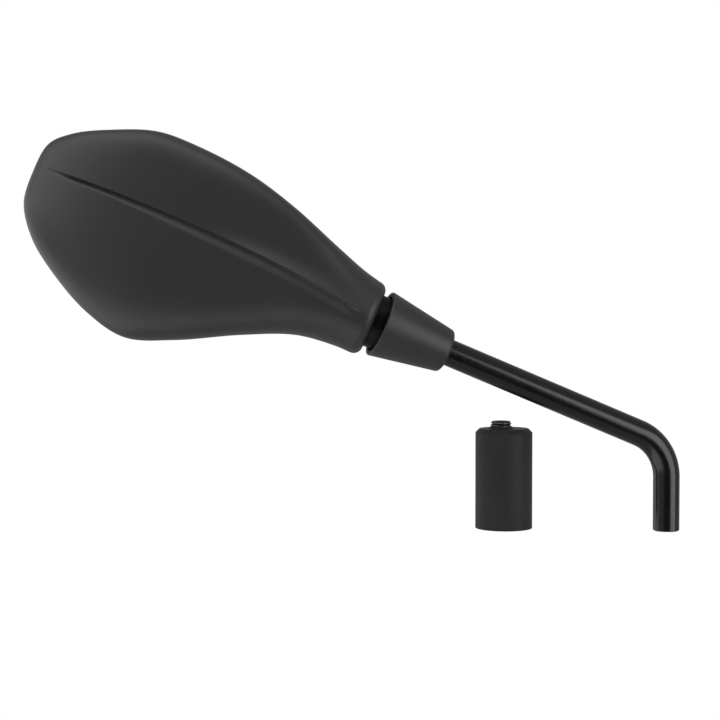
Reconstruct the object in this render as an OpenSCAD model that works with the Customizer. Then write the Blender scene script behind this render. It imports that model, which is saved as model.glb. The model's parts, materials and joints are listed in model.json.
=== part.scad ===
// Motorcycle mirror, left hand, on a bent round rod, with the clamp adapter that it is sold with.
// The origin is the centre of the rod's cut end. +Z runs up the rod's leg, +X away from the head,
// and the glass faces +Y. All sizes are in millimetres.

/* [Rod] */
// Diameter of the round steel rod
rod_d = 12; // [10:0.5:12.5]
// Height at which the centre lines of leg and arm would meet
corner_z = 39.2; // [36:0.1:60]
// Radius of the bend, at the rod's centre line
bend_r = 22; // [18:1:26]
// Length of the arm, from that meeting point to the centre of the ball
arm_len = 144.4; // [110:0.1:200]
// Rise of the arm and of the head's long axis, seen from the back
arm_rise = 23; // [15:1:30]
// Angle between the arm and the head's long axis, at rest
head_swing = 10; // [4:0.5:11]

/* [Collar] */
// Length of the tapered collar
collar_len = 32.5; // [27:0.5:40]
// Diameter of the collar at its open mouth
collar_mouth_d = 30; // [29:0.2:32]
// Diameter of the collar at its narrow end
collar_tail_d = 19.4; // [17:0.2:24]
// Edge rounding of the collar at its narrow end
collar_tail_round = 2; // [0.5:0.5:2.5]
// Edge rounding of the collar at its mouth
collar_mouth_round = 1.2; // [0.4:0.2:1.2]
// Thickness of the web that is clamped between nut and rod
collar_web = 3; // [2:0.5:4]

/* [Ball joint] */
// Diameter of the ball
ball_d = 15; // [13:0.5:15.5]
// Diameter of the ball's threaded shank
shank_d = 8; // [6:0.5:8]
// How far the shank reaches into the rod
shank_grip = 14; // [10:1:20]
// Wall of the two plastic seats round the ball
seat_wall = 1.4; // [1:0.1:1.6]
// Wall of the socket round the seats
socket_wall = 2.9; // [2.5:0.1:3.2]
// Half angle of the socket's opening for the shank
socket_opening = 42; // [38:1:44]
// Gap between the collar's mouth and the neck, when the head is in line with the arm
joint_gap = 3; // [2.9:0.1:4]
// Width over the flats of the lock nut
nut_af = 13; // [12:0.5:14]
// Height of the lock nut
nut_h = 5; // [4:0.5:6]
// Diameter of the lock washer
washer_d = 16; // [14:0.5:16.5]
// Thickness of the lock washer
washer_t = 1.2; // [0.8:0.1:1.6]
// Thickness of one disc spring
spring_t = 0.9; // [0.6:0.1:1]
// Dish of one disc spring
spring_dish = 0.5; // [0.3:0.1:0.6]
// Thickness of the cap on the disc springs
cap_t = 2.4; // [2:0.2:3]
// Thickness of the retaining ring
clip_t = 1.1; // [0.8:0.1:1.2]
// Diameter of the ring nut inside the head
ring_nut_d = 26; // [25:0.5:26.5]
// Height of the ring nut
ring_nut_h = 4; // [3:0.5:5]

/* [Head] */
// Distance from the ball's centre to the tip of the head
head_reach = 165; // [155:0.5:180]
// Reach of the leaf above the head's long axis
leaf_up = 40; // [38:0.5:44]
// Reach of the leaf below the head's long axis
leaf_down = 49.3; // [46:0.1:54]
// Diameter of the round neck
neck_d = 33.6; // [32:0.1:35]
// Edge rounding at the neck's open end
neck_round = 4; // [3.4:0.1:4.2]
// Depth of the head behind the neck's axis
crown_h = 20; // [18:0.5:24]
// Depth of the head in front of the neck's axis
rim_h = 14; // [13:0.5:16]
// Wall of the moulded housing
housing_wall = 2.6; // [2:0.1:3]
// Distance from the ball's centre to the inner face of the neck
bulkhead_s = 24; // [24:0.5:26]
// Depth of the styling groove
groove_depth = 1.5; // [0.6:0.1:1.8]
// Greatest width of the styling groove
groove_w = 5.4; // [3:0.2:6]
// Height of the crease on the neck that the groove runs into
crease_h = 1.2; // [0:0.1:1.5]
// Reach of the slope above the crease; the slope below it is twice as long
crease_w = 11; // [8:0.5:12]
// Hollow of the lower panel under the groove
hollow_depth = 2.2; // [0:0.1:2.6]

/* [Glass] */
// Width of the housing's lip round the glass
lip_w = 3; // [2.8:0.1:4]
// Thickness of the glass
glass_t = 2; // [1.8:0.1:2.5]
// Radius of the convex glass
glass_r = 1200; // [1000:50:1600]
// Depth of the glass below the lip, at its middle
glass_sink = 0.9; // [0.6:0.1:1.5]
// Thickness of the foam pad behind the glass
pad_t = 1; // [0.6:0.1:1.5]
// Thickness of the plate that carries the glass, at its middle
carrier_t = 3; // [2.8:0.1:3.6]
// Diameter of the screws that hold the plate
carrier_screw_d = 3; // [2.5:0.5:3.5]
// Length of those screws
carrier_screw_len = 12; // [8:1:13]
// Height of the heads of those screws
carrier_screw_head = 0.9; // [0.7:0.1:1]

/* [Adapter] */
// Diameter of the adapter
adapter_d = 26.2; // [24:0.1:28]
// Height of the adapter
adapter_h = 46; // [44:0.5:60]
// Distance from the rod's leg to the adapter that stands beside it
adapter_offset = 73.3; // [40:0.1:90]
// How far the adapter stands nearer the glass's side than the leg
adapter_ahead = 9; // [0:1:20]
// Chamfer at the adapter's top edge
adapter_chamfer = 1.8; // [0.5:0.1:2.5]
// Depth of the bore that takes the rod
adapter_bore_depth = 28; // [24:1:29]
// Diameter of the threaded stud
stud_d = 10; // [8:0.5:10]
// How far the stud stands out
stud_out = 3.4; // [2.5:0.1:8]
// How far the stud reaches into the adapter
stud_in = 12; // [10:0.5:13]
// Distance of the stud from the adapter's middle, away from the leg
stud_shift = 1.3; // [0:0.1:2]
// Diameter of the clamp screw
clamp_screw_d = 5; // [4:0.5:6]
// Height of the clamp screw above the adapter's foot
clamp_screw_z = 14; // [8:1:20]

/* [Hidden] */
$fn = 96;

// Clearances
thread_gap = 0.05;
slide_gap = 0.1;
seat_gap = 0.05;
fit_gap = 0.2;
rod_gap = 0.1;
swing_gap = 0.8;
glass_gap = 0.4;
cut = 1;

// Rod and arm
rod_r = rod_d / 2;
arm_dir = [-cos(head_swing) * cos(arm_rise), -sin(head_swing), cos(head_swing) * sin(arm_rise)];
arm_yaw = atan2(-arm_dir[1], -arm_dir[0]);
arm_turn = acos(arm_dir[2]);
bend_run = bend_r * tan(arm_turn / 2);
// The bend is drawn out by a hair, and reaches a little way into leg and arm
bend_thin = 0.02;
bend_lap = 1;
ball_centre = [0, 0, corner_z] + arm_len * arm_dir;

// Ball joint, with all distances measured from the ball's centre along the joint's axis
ball_r = ball_d / 2;
shank_r = shank_d / 2;
seat_in_r = ball_r + seat_gap;
seat_out_r = seat_in_r + seat_wall;
socket_bore_r = seat_out_r + slide_gap;
socket_r = socket_bore_r + socket_wall;
socket_tail_r = socket_r - 1;
socket_step = joint_gap + 4.2;
mouth_r = socket_r + swing_gap;
nut_top = 11.2;
nut_foot = nut_top + nut_h;
web_top = nut_foot + washer_t;
rod_top = web_top + collar_web;
front_seat_s = -0.8;
rear_seat_s = 2.2;
cup_foot = 4;
cup_top = 12;
spring_count = 4;
spring_pitch = spring_t + spring_dish;
cap_foot = cup_top + spring_count * spring_pitch;
clip_foot = cap_foot + cap_t;
clip_r = socket_bore_r + 0.55;
clip_groove_r = clip_r + slide_gap;
ring_nut_top = bulkhead_s + ring_nut_h;
front_from = ring_nut_top - 0.5;
front_to = ring_nut_top + 6;
rim_from = joint_gap + 8;

// Head. The outline runs from the neck's upper edge over the tip to its lower edge, in shares of
// head_reach along the axis and of leaf_up or leaf_down across it.
neck_r = neck_d / 2;
neck_s = joint_gap + neck_round;
flare_s = neck_s + 8;
flare_up = 1.9;
UPPER_SHAPE = [[0.18, 0.59], [0.325, 0.8], [0.469, 0.946], [0.628, 1], [0.733, 0.975], [0.843, 0.804],
    [0.938, 0.595], [0.99, 0.381]];
LOWER_SHAPE = [[0.992, 0.248], [0.935, 0.511], [0.844, 0.73], [0.723, 0.928], [0.608, 1], [0.484, 0.849],
    [0.326, 0.575], [0.195, 0.389]];
OUTLINE = concat(
    [[neck_s, neck_r], [flare_s, neck_r + flare_up]],
    [for (p = UPPER_SHAPE) [p[0] * head_reach, p[1] * leaf_up]],
    [[head_reach, 0]],
    [for (p = LOWER_SHAPE) [p[0] * head_reach, -p[1] * leaf_down]],
    [[flare_s, -neck_r], [neck_s, -neck_r]]);
LAST = len(OUTLINE) - 1;
HALF = LAST / 2;
RIBS_PER_SPAN = 4;
END_RIB = HALF - 0.12;
crown_s = 0.57 * head_reach;
crown_end = head_reach + 0.3;
tip_power = 2.6;
upper_power = 5.4;
lower_power = 3.1;
rim_power = 14;
spine_top = 8;
spine_sag = 5.3;
spine_s = 0.6 * head_reach;
groove_end_s = 0.978 * head_reach;
upper_steps = 9;
lower_steps = 12;
front_steps = 9;
// How much closer the points of a rib lie towards its edges
edge_power = 2;

// Glass
glass_first = 2.6;
glass_bulge = 12;
glass_mid = [0.62 * head_reach, (leaf_up - leaf_down) / 2];
glass_top = rim_h - glass_sink;
pad_top = glass_top - glass_t;
carrier_top = pad_top - pad_t;
carrier_foot = carrier_top - carrier_t;
lens_reach = 75;
boss_r = 3.6;
// Crossed ribs that hold up each boss
boss_rib_t = 1.2;
boss_rib_run = 4;
boss_rib_h = 7;
boss_rib_foot = 2;
// Each boss's place, in shares of head_reach and of leaf_up or leaf_down
BOSSES = [[0.38, 0.45], [0.38, -0.36], [0.78, 0.5], [0.78, -0.46]];
boss_places = [for (b = BOSSES) [b[0] * head_reach, b[1] * (b[1] > 0 ? leaf_up : leaf_down)]];
// How much lower the plate's face is at the boss farthest from its middle
far_boss = max([for (p = boss_places) norm(p - glass_mid)]);
boss_sag = glass_r - sqrt(pow(glass_r, 2) - pow(far_boss, 2));
screw_seat = carrier_t - boss_sag - carrier_screw_head - fit_gap;

// Adapter
stud_r = stud_d / 2;
stud_neck_r = stud_r - 0.8;

function ease(from, to, x) =
    let (t = min(1, max(0, (x - from) / (to - from))))
    t * t * (3 - 2 * t);

function mix(a, b, t) = a + (b - a) * t;

// Centripetal spline through four points, at share t between the middle two
function spline(p0, p1, p2, p3, t) =
    let (
        t1 = sqrt(norm(p1 - p0)),
        t2 = t1 + sqrt(norm(p2 - p1)),
        t3 = t2 + sqrt(norm(p3 - p2)),
        x = mix(t1, t2, t),
        a1 = mix(p0, p1, x / t1),
        a2 = mix(p1, p2, (x - t1) / (t2 - t1)),
        a3 = mix(p2, p3, (x - t2) / (t3 - t2)),
        b1 = mix(a1, a2, x / t2),
        b2 = mix(a2, a3, (x - t1) / (t3 - t1)))
    mix(b1, b2, (x - t1) / (t2 - t1));

// Point of the outline at index k, which may lie between two listed points
function outline(k) =
    let (
        i = min(floor(k), LAST - 1),
        before = i > 0 ? OUTLINE[i - 1] : 2 * OUTLINE[0] - OUTLINE[1],
        after = i + 2 <= LAST ? OUTLINE[i + 2] : 2 * OUTLINE[LAST] - OUTLINE[LAST - 1])
    spline(before, OUTLINE[i], OUTLINE[i + 1], after, k - i);

// The same point, moved inwards by d
function inner_outline(k, d) =
    let (
        step = 0.02,
        run = outline(min(LAST, k + step)) - outline(max(0, k - step)),
        dir = run / norm(run))
    outline(k) + d * [dir[1], -dir[0]];

// Where the groove's crisp edge lies, and its width, depth and ridge, at distance s from the ball
function spine_w(s) = spine_top - spine_sag * pow(abs(s - spine_s) / (0.5 * head_reach), 2.5);
function groove_width(s) = groove_w * mix(0.4, 1, ease(groove_end_s, 0.4 * head_reach, s));
function groove_drop(s) =
    groove_depth * ease(groove_end_s, 0.86 * head_reach, s) * ease(0.2 * head_reach, 0.4 * head_reach, s);
function crease(s) =
    crease_h * ease(joint_gap, 0.13 * head_reach, s) * ease(0.5 * head_reach, 0.2 * head_reach, s);
function hollow(s) =
    hollow_depth * ease(0.1 * head_reach, 0.32 * head_reach, s) * ease(0.95 * head_reach, 0.5 * head_reach, s);

// Height of the back above the neck's axis
function crown(s) =
    let (x = max(0, (s - crown_s) / (crown_end - crown_s)))
    mix(neck_r, crown_h, ease(joint_gap, 0.5 * head_reach, s)) * pow(1 - pow(min(x, 1), tip_power), 1 / tip_power);

// Height of the back at distance v above the middle of a rib, as a share of the rib's height. It is
// round at the neck and flattens towards the leaf.
function back_share(v, half, s) =
    let (n = mix(2, v > 0 ? upper_power : lower_power, ease(joint_gap, 0.38 * head_reach, s)))
    pow(1 - pow(min(1, abs(v) / half), n), 1 / n);

// What crease and hollow add to that height, for a groove that lies between spine and lip
function relief(v, spine, lip, half, s) =
    let (
        slope = v > spine ? (v - spine) / crease_w : (spine - v) / (2 * crease_w),
        t = max(0, lip - v) / (lip + half))
    crease(s) * pow(1 - min(1, slope), 3) - hollow(s) * 12 * pow(t, 1.5) * pow(1 - min(1, t), 2.2);

// One closed rib of the head at outline index k, set in from the outside by d.
// It starts at the upper edge, runs over the back to the lower edge and returns over the front.
function rib(k, d) =
    let (
        top = inner_outline(k, d),
        foot = inner_outline(LAST - k, d),
        mid = (top + foot) / 2,
        half = norm(top - foot) / 2,
        chord = (top - mid) / half,
        s = mid[0],
        h = crown(s) - d,
        spine = min(half / 2, max(0, (spine_w(s) - mid[1]) / chord[1])),
        width = min(groove_width(s), 0.4 * half),
        lip = spine - width,
        drop = min(groove_drop(s), 0.5 * h),
        rim_e = mix(1, 2 / rim_power, ease(rim_from, front_to, s)),
        front_h = mix(neck_r, rim_h, ease(front_from, front_to, s)) - d,
        upper = [for (i = [0:upper_steps]) [half - (half - spine) * pow(i / upper_steps, edge_power), 0]],
        valley = [for (q = [[0.2, 1], [0.5, 0.62]]) [spine - q[0] * width, q[1] * drop]],
        lower = [for (i = [lower_steps:-1:0]) [(half + lip) * pow(i / lower_steps, edge_power) - half, 0]],
        back = [for (q = concat(upper, valley, lower))
            let (p = mid + q[0] * chord)
            [p[0], h * back_share(q[0], half, s) + relief(q[0], spine, lip, half, s) - q[1], p[1]]],
        front = [for (i = [1:2 * front_steps - 1])
            let (
                a = 90 * i / front_steps,
                c = cos(a),
                p = mid - sign(c) * pow(abs(c), rim_e) * half * chord)
            [p[0], -front_h * pow(sin(a), rim_e), p[1]]])
    concat(back, front);

// Solid skinned over a list of ribs, each with the same number of points
module skin(ribs) {
    n = len(ribs[0]);
    last = len(ribs) - 1;
    sides = [for (r = [0:last - 1], i = [0:n - 1])
        let (j = (i + 1) % n, a = r * n + i, b = r * n + j, c = a + n, d = b + n)
        each [[a, b, d], [a, d, c]]];
    polyhedron(
        points = [for (r = ribs) each r],
        faces = concat([[for (i = [n - 1:-1:0]) i]], sides, [[for (i = [0:n - 1]) last * n + i]]),
        convexity = 6);
}

// Frames: x runs from the ball's centre along the head's axis or the arm, and y towards the back
module head_frame() {
    translate(ball_centre) rotate([0, arm_rise, 0]) rotate([0, 0, 180]) children();
}

module arm_frame() {
    head_frame() rotate([0, 0, head_swing]) children();
}

// Round solid along x between two distances from the ball's centre
module bar(from, to, r, r2 = undef) {
    translate([from, 0, 0]) rotate([0, 90, 0]) cylinder(h = to - from, r1 = r, r2 = is_undef(r2) ? r : r2);
}

// Cone along x with its apex in the ball's centre: towards the head for a positive length
module ball_cone(len, half_angle) {
    rotate([0, len > 0 ? 90 : -90, 0]) cylinder(h = abs(len), r1 = 0, r2 = abs(len) * tan(half_angle));
}

// Flat solid of the head's front outline, set in by d, between two depths in front of the neck's axis
module front_prism(d, from, to) {
    first = glass_first;
    top = inner_outline(first, d);
    foot = inner_outline(LAST - first, d);
    mid = (top + foot) / 2;
    half = (top - foot) / 2;
    side = [for (k = [first:1 / 4:LAST - first + 0.001]) inner_outline(k, d)];
    neck_end = [for (a = [165:-15:15]) mid + cos(a) * half - [(glass_bulge - d / 3) * sin(a), 0]];
    translate([0, -from, 0]) rotate([90, 0, 0]) linear_extrude(to - from) polygon(concat(side, neck_end));
}

// Convex disc about the glass's middle, of even thickness t, with its front at depth front
module lens(front, t) {
    steps = 20;
    face = [for (i = [0:steps]) let (r = lens_reach * i / steps) [r, glass_r - sqrt(pow(glass_r, 2) - pow(r, 2))]];
    translate([glass_mid[0], -front, glass_mid[1]]) rotate([-90, 0, 0])
        rotate_extrude() polygon(concat(face, [for (i = [steps:-1:0]) face[i] + [0, t]]));
}

// Puts a child at each boss that carries the glass's plate
module at_bosses() {
    for (p = boss_places)
        translate([p[0], 0, p[1]]) children();
}

module rod() {
    color([0.07, 0.07, 0.07]) difference() {
        union() {
            cylinder(h = corner_z - bend_run, r = rod_r);
            rotate([0, 0, 180 + arm_yaw]) translate([bend_r, 0, corner_z - bend_run]) rotate([90, 0, 0])
                rotate([0, 0, 180 - arm_turn]) {
                    rotate([0, 0, -bend_lap]) rotate_extrude(angle = arm_turn + 2 * bend_lap)
                        translate([bend_r, 0]) circle(rod_r - bend_thin);
                    translate([bend_r, 0, 0]) rotate([90, 0, 0]) cylinder(h = arm_len - bend_run - rod_top, r = rod_r);
                }
        }
        arm_frame() bar(-rod_top - shank_grip - cut, -rod_top + cut, shank_r + thread_gap);
    }
}

module ball_stud() {
    color([0.72, 0.72, 0.74]) arm_frame() {
        sphere(ball_r);
        bar(-rod_top - shank_grip, -ball_r / 2, shank_r);
    }
}

module lock_nut() {
    color([0.6, 0.6, 0.62]) arm_frame() difference() {
        translate([-nut_foot, 0, 0]) rotate([0, 90, 0]) cylinder(h = nut_h, r = nut_af / 2 / cos(30), $fn = 6);
        bar(-nut_foot - cut, -nut_top + cut, shank_r + thread_gap);
    }
}

module lock_washer() {
    color([0.6, 0.6, 0.62]) arm_frame() difference() {
        bar(-web_top, -nut_foot, washer_d / 2);
        bar(-web_top - cut, -nut_foot + cut, shank_r + fit_gap);
    }
}

module collar() {
    slope = (collar_mouth_d - collar_tail_d) / 2 / collar_len;
    mouth = collar_mouth_d / 2;
    tail = collar_tail_d / 2;
    tail_arc = [for (a = [0:15:90])
        [tail - collar_tail_round * (1 - cos(a)), -collar_len + collar_tail_round * (1 - sin(a))]];
    mouth_arc = [for (a = [90:-15:0])
        [mouth - collar_mouth_round * (1 + slope) + collar_mouth_round * cos(a), collar_mouth_round * (sin(a) - 1)]];
    color([0.2, 0.2, 0.2]) arm_frame() difference() {
        rotate([0, 90, 0]) rotate_extrude()
            polygon(concat([[0, 0]], mouth_arc, tail_arc, [[0, -collar_len]]));
        sphere(mouth_r);
        bar(-web_top, 0, washer_d / 2 + fit_gap);
        bar(-rod_top - cut, 0, shank_r + fit_gap);
        bar(-collar_len - cut, -rod_top, rod_r + slide_gap);
    }
}

module seat_shell() {
    difference() {
        sphere(seat_out_r);
        sphere(seat_in_r);
    }
}

module rear_seat() {
    color([0.9, 0.9, 0.86]) head_frame() intersection() {
        seat_shell();
        bar(rear_seat_s, seat_out_r + cut, seat_out_r + cut);
    }
}

module front_seat() {
    color([0.9, 0.9, 0.86]) head_frame() difference() {
        intersection() {
            seat_shell();
            bar(-seat_out_r - cut, front_seat_s, seat_out_r + cut);
        }
        ball_cone(-2 * seat_out_r, socket_opening + 8);
    }
}

module socket() {
    color([0.08, 0.08, 0.08]) head_frame() difference() {
        union() {
            sphere(socket_r);
            bar(0, socket_step, socket_r);
            bar(0, ring_nut_top, socket_tail_r);
        }
        sphere(socket_bore_r);
        bar(0, ring_nut_top + cut, socket_bore_r);
        bar(clip_foot, clip_foot + clip_t + slide_gap, clip_groove_r);
        ball_cone(-2 * socket_r, socket_opening);
    }
}

module pressure_cup() {
    color([0.65, 0.65, 0.67]) head_frame() difference() {
        bar(cup_foot, cup_top, socket_bore_r - slide_gap);
        sphere(seat_out_r + seat_gap);
        bar(0, cup_top + cut, 3);
    }
}

module disc_springs() {
    inner = 4.3;
    outer = socket_bore_r - 3 * slide_gap;
    color([0.5, 0.5, 0.53]) head_frame() for (i = [0:spring_count - 1]) {
        flip = i % 2;
        translate([cup_top + i * spring_pitch, 0, 0]) rotate([0, 90, 0]) rotate_extrude() polygon([
            [inner, flip * spring_dish],
            [outer, (1 - flip) * spring_dish],
            [outer, (1 - flip) * spring_dish + spring_t],
            [inner, flip * spring_dish + spring_t]]);
    }
}

module spring_cap() {
    color([0.65, 0.65, 0.67]) head_frame() difference() {
        bar(cap_foot, clip_foot, socket_bore_r - slide_gap);
        bar(cap_foot - cut, clip_foot + cut, 3);
    }
}

module retaining_ring() {
    ring_w = 1.7;
    lug_r = 1.6;
    lug_at = clip_r - ring_w - 0.5;
    gap_half = 22;
    color([0.35, 0.35, 0.37]) head_frame() translate([clip_foot, 0, 0]) rotate([0, 90, 0]) difference() {
        union() {
            rotate([0, 0, gap_half]) rotate_extrude(angle = 360 - 2 * gap_half)
                translate([clip_r - ring_w, 0]) square([ring_w, clip_t]);
            for (side = [-1, 1]) rotate([0, 0, side * gap_half]) translate([lug_at, 0, 0])
                cylinder(h = clip_t, r = lug_r);
        }
        for (side = [-1, 1]) rotate([0, 0, side * gap_half]) translate([lug_at, 0, -cut])
            cylinder(h = clip_t + 2 * cut, r = 0.7);
    }
}

module ring_nut() {
    color([0.65, 0.65, 0.67]) head_frame() difference() {
        bar(bulkhead_s, ring_nut_top, ring_nut_d / 2);
        bar(bulkhead_s - cut, ring_nut_top + cut, socket_tail_r + thread_gap);
        for (a = [0:90:270]) rotate([a, 0, 0])
            translate([bulkhead_s + ring_nut_h / 2, -1.5, ring_nut_d / 2 - 1]) cube([ring_nut_h, 3, 2]);
    }
}

module housing_outside() {
    corner = [for (a = [0, 30, 60])
        let (f = 1 - neck_round * (1 - sin(a)) / neck_r)
        [for (p = rib(0, 0)) [neck_s - neck_round * cos(a), f * p[1], f * p[2]]]];
    body = [for (k = [0:1 / RIBS_PER_SPAN:END_RIB]) rib(k, 0)];
    skin(concat(corner, body, [rib(END_RIB, 0)]));
}

// The room inside the housing, from the neck's inner face to the tip, set in by d from the outside
module housing_inside(d) {
    neck_end = [for (p = rib(1.6, d)) [bulkhead_s, p[1], p[2]]];
    skin(concat([neck_end], [for (k = [2:1 / 3:HALF - 0.6]) rib(k, d)]));
}

module housing_bosses() {
    intersection() {
        housing_inside(housing_wall / 2);
        at_bosses() {
            translate([0, crown_h, 0]) rotate([90, 0, 0]) cylinder(h = crown_h + carrier_foot, r = boss_r, $fn = 20);
            for (a = [0, 90]) rotate([0, a, 0]) hull() {
                translate([0, crown_h - boss_rib_h / 2, 0])
                    cube([2 * (boss_r + boss_rib_run), boss_rib_h, boss_rib_t], center = true);
                translate([0, boss_rib_foot + boss_rib_h / 2, 0])
                    cube([2 * boss_r - boss_rib_t, boss_rib_h, boss_rib_t], center = true);
            }
        }
    }
}

module housing() {
    color([0.22, 0.22, 0.22]) head_frame() difference() {
        union() {
            difference() {
                housing_outside();
                housing_inside(housing_wall);
                front_prism(lip_w, -2, 2 * rim_h);
            }
            housing_bosses();
        }
        bar(-cut, socket_step, socket_r + fit_gap, $fn = 64);
        bar(-cut, bulkhead_s + cut, socket_tail_r + fit_gap, $fn = 64);
        at_bosses() rotate([90, 0, 0])
            cylinder(h = 2 * rim_h, r = carrier_screw_d / 2 + thread_gap, center = true, $fn = 20);
    }
}

module carrier_plate() {
    color([0.15, 0.15, 0.15]) head_frame() difference() {
        intersection() {
            front_prism(lip_w + 2 * glass_gap, carrier_foot, rim_h);
            lens(carrier_top, 2 * carrier_t);
        }
        at_bosses() {
            rotate([90, 0, 0]) cylinder(h = 2 * rim_h, r = carrier_screw_d / 2 + fit_gap);
            translate([0, -carrier_foot - screw_seat, 0]) rotate([90, 0, 0]) cylinder(h = rim_h, r = carrier_screw_d);
        }
    }
}

module carrier_screws() {
    slot_w = 0.6;
    slot_depth = 0.5;
    color([0.5, 0.5, 0.52]) head_frame() at_bosses() translate([0, -carrier_foot - screw_seat, 0]) {
        rotate([-90, 0, 0]) cylinder(h = carrier_screw_len, r = carrier_screw_d / 2);
        rotate([90, 0, 0]) difference() {
            cylinder(h = carrier_screw_head, r = carrier_screw_d - fit_gap);
            for (a = [0, 90]) rotate([0, 0, a])
                translate([-carrier_screw_d / 2, -slot_w / 2, carrier_screw_head - slot_depth])
                    cube([carrier_screw_d, slot_w, slot_depth + cut]);
        }
    }
}

module foam_pad() {
    color([0.3, 0.3, 0.32]) head_frame() intersection() {
        front_prism(lip_w + 4 * glass_gap, 0, rim_h);
        lens(pad_top, pad_t);
    }
}

module mirror_glass() {
    color([0.8, 0.86, 0.9]) head_frame() intersection() {
        front_prism(lip_w + glass_gap, 0, rim_h);
        lens(glass_top, glass_t);
    }
}

module at_adapter() {
    translate([-adapter_offset, adapter_ahead, 0]) children();
}

module adapter_body() {
    stud_hole_r = stud_r - thread_gap;
    color([0.12, 0.12, 0.12]) at_adapter() difference() {
        union() {
            cylinder(h = adapter_h - adapter_chamfer, d = adapter_d);
            translate([0, 0, adapter_h - adapter_chamfer])
                cylinder(h = adapter_chamfer, r1 = adapter_d / 2, r2 = adapter_d / 2 - adapter_chamfer);
            translate([-stud_shift, 0, adapter_h]) cylinder(h = 0.6, r1 = stud_r + 0.3, r2 = stud_r);
        }
        translate([0, 0, -cut]) cylinder(h = adapter_bore_depth + cut, r = rod_r + rod_gap);
        translate([-stud_shift, 0, adapter_h - stud_in - 0.5]) cylinder(h = stud_in + 2, r = stud_hole_r);
        translate([0, 0, clamp_screw_z]) rotate([-90, 0, 0]) cylinder(h = adapter_d, d = clamp_screw_d);
    }
}

module adapter_stud() {
    thread_r = stud_r - 2 * thread_gap;
    tip = 0.8;
    color([0.3, 0.3, 0.3]) at_adapter() translate([-stud_shift, 0, adapter_h - stud_in]) difference() {
        union() {
            cylinder(h = stud_in + stud_out - tip, r = thread_r);
            translate([0, 0, stud_in + stud_out - tip]) cylinder(h = tip, r1 = thread_r, r2 = stud_neck_r);
        }
        translate([0, 0, stud_in + stud_out - 4]) cylinder(h = 4 + cut, r = 2.5 / cos(30), $fn = 6);
    }
}

module clamp_screw() {
    inner = rod_r + rod_gap;
    socket_r2 = clamp_screw_d / 4;
    length = adapter_d / 2 - inner - 0.6;
    color([0.3, 0.3, 0.3]) at_adapter() translate([0, inner, clamp_screw_z]) rotate([-90, 0, 0]) difference() {
        cylinder(h = length, r = clamp_screw_d / 2 - thread_gap);
        translate([0, 0, length - 2.5]) cylinder(h = 2.5 + cut, r = socket_r2 / cos(30), $fn = 6);
    }
}

rod();
ball_stud();
lock_nut();
lock_washer();
collar();
rear_seat();
front_seat();
socket();
pressure_cup();
disc_springs();
spring_cap();
retaining_ring();
ring_nut();
housing();
carrier_plate();
carrier_screws();
foam_pad();
mirror_glass();
adapter_body();
adapter_stud();
clamp_screw();
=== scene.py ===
"""Visual model of a motorcycle mirror on a bent rod, with its clamp adapter beside it.

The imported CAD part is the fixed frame. The head's housing, the collar, the rod, the glass and the
adapter are rebuilt as fine meshes in the same place, and the other CAD nodes only get finishes.
Sizes are in millimetres until a mesh is made, and in metres from there on.
"""

import json
import logging
import math
from dataclasses import dataclass, field
from enum import Enum

import bmesh
import bpy
import numpy as np
from mathutils import Matrix, Vector

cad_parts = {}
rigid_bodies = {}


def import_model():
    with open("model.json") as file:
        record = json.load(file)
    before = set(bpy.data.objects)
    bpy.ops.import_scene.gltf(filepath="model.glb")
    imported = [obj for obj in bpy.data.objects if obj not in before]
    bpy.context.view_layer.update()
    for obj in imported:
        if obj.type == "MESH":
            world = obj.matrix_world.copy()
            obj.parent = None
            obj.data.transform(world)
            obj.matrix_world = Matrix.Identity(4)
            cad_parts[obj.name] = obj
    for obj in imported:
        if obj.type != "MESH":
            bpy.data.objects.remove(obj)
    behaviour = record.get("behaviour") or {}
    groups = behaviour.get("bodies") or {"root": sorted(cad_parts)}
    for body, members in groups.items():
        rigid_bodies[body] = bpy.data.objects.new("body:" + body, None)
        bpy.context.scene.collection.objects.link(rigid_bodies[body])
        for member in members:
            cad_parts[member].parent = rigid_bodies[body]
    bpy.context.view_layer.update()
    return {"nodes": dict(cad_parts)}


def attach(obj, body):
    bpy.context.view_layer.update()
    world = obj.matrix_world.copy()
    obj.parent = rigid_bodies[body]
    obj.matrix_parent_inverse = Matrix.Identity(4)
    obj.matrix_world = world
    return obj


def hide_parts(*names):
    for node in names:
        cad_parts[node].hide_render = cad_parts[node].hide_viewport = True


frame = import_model()

MM = 0.001
log = logging.getLogger("mirror")


class Body(Enum):
    """The CAD bodies that pieces ride on."""

    STEM = "stem"
    HEAD = "head"


# Mesh making


def ease(start: float, end: float, x: float) -> float:
    """Smooth step from 0 at start to 1 at end.

    Args:
        start: Where the step begins.
        end: Where it ends; it may lie below start.
        x: Where the step is read.

    Returns:
        A share from 0 to 1.
    """
    t = min(1.0, max(0.0, (x - start) / (end - start)))
    return t * t * (3 - 2 * t)


def mix(a: float, b: float, t: float) -> float:
    """The value at share t between a and b."""
    return a + (b - a) * t


def toward_end(count: int, power: float = 2.2) -> np.ndarray:
    """Shares from 0 to 1 that lie closer together towards 1.

    Args:
        count: Number of steps.
        power: How strongly they gather at 1.

    Returns:
        count + 1 shares.
    """
    return 1 - (1 - np.linspace(0, 1, count + 1)) ** power


def super_arc(t: np.ndarray, power: float) -> np.ndarray:
    """Height of a superellipse of half width and height 1 at shares t of its half width."""
    return np.clip(1 - np.abs(t) ** power, 0, None) ** (1 / power)


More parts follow.
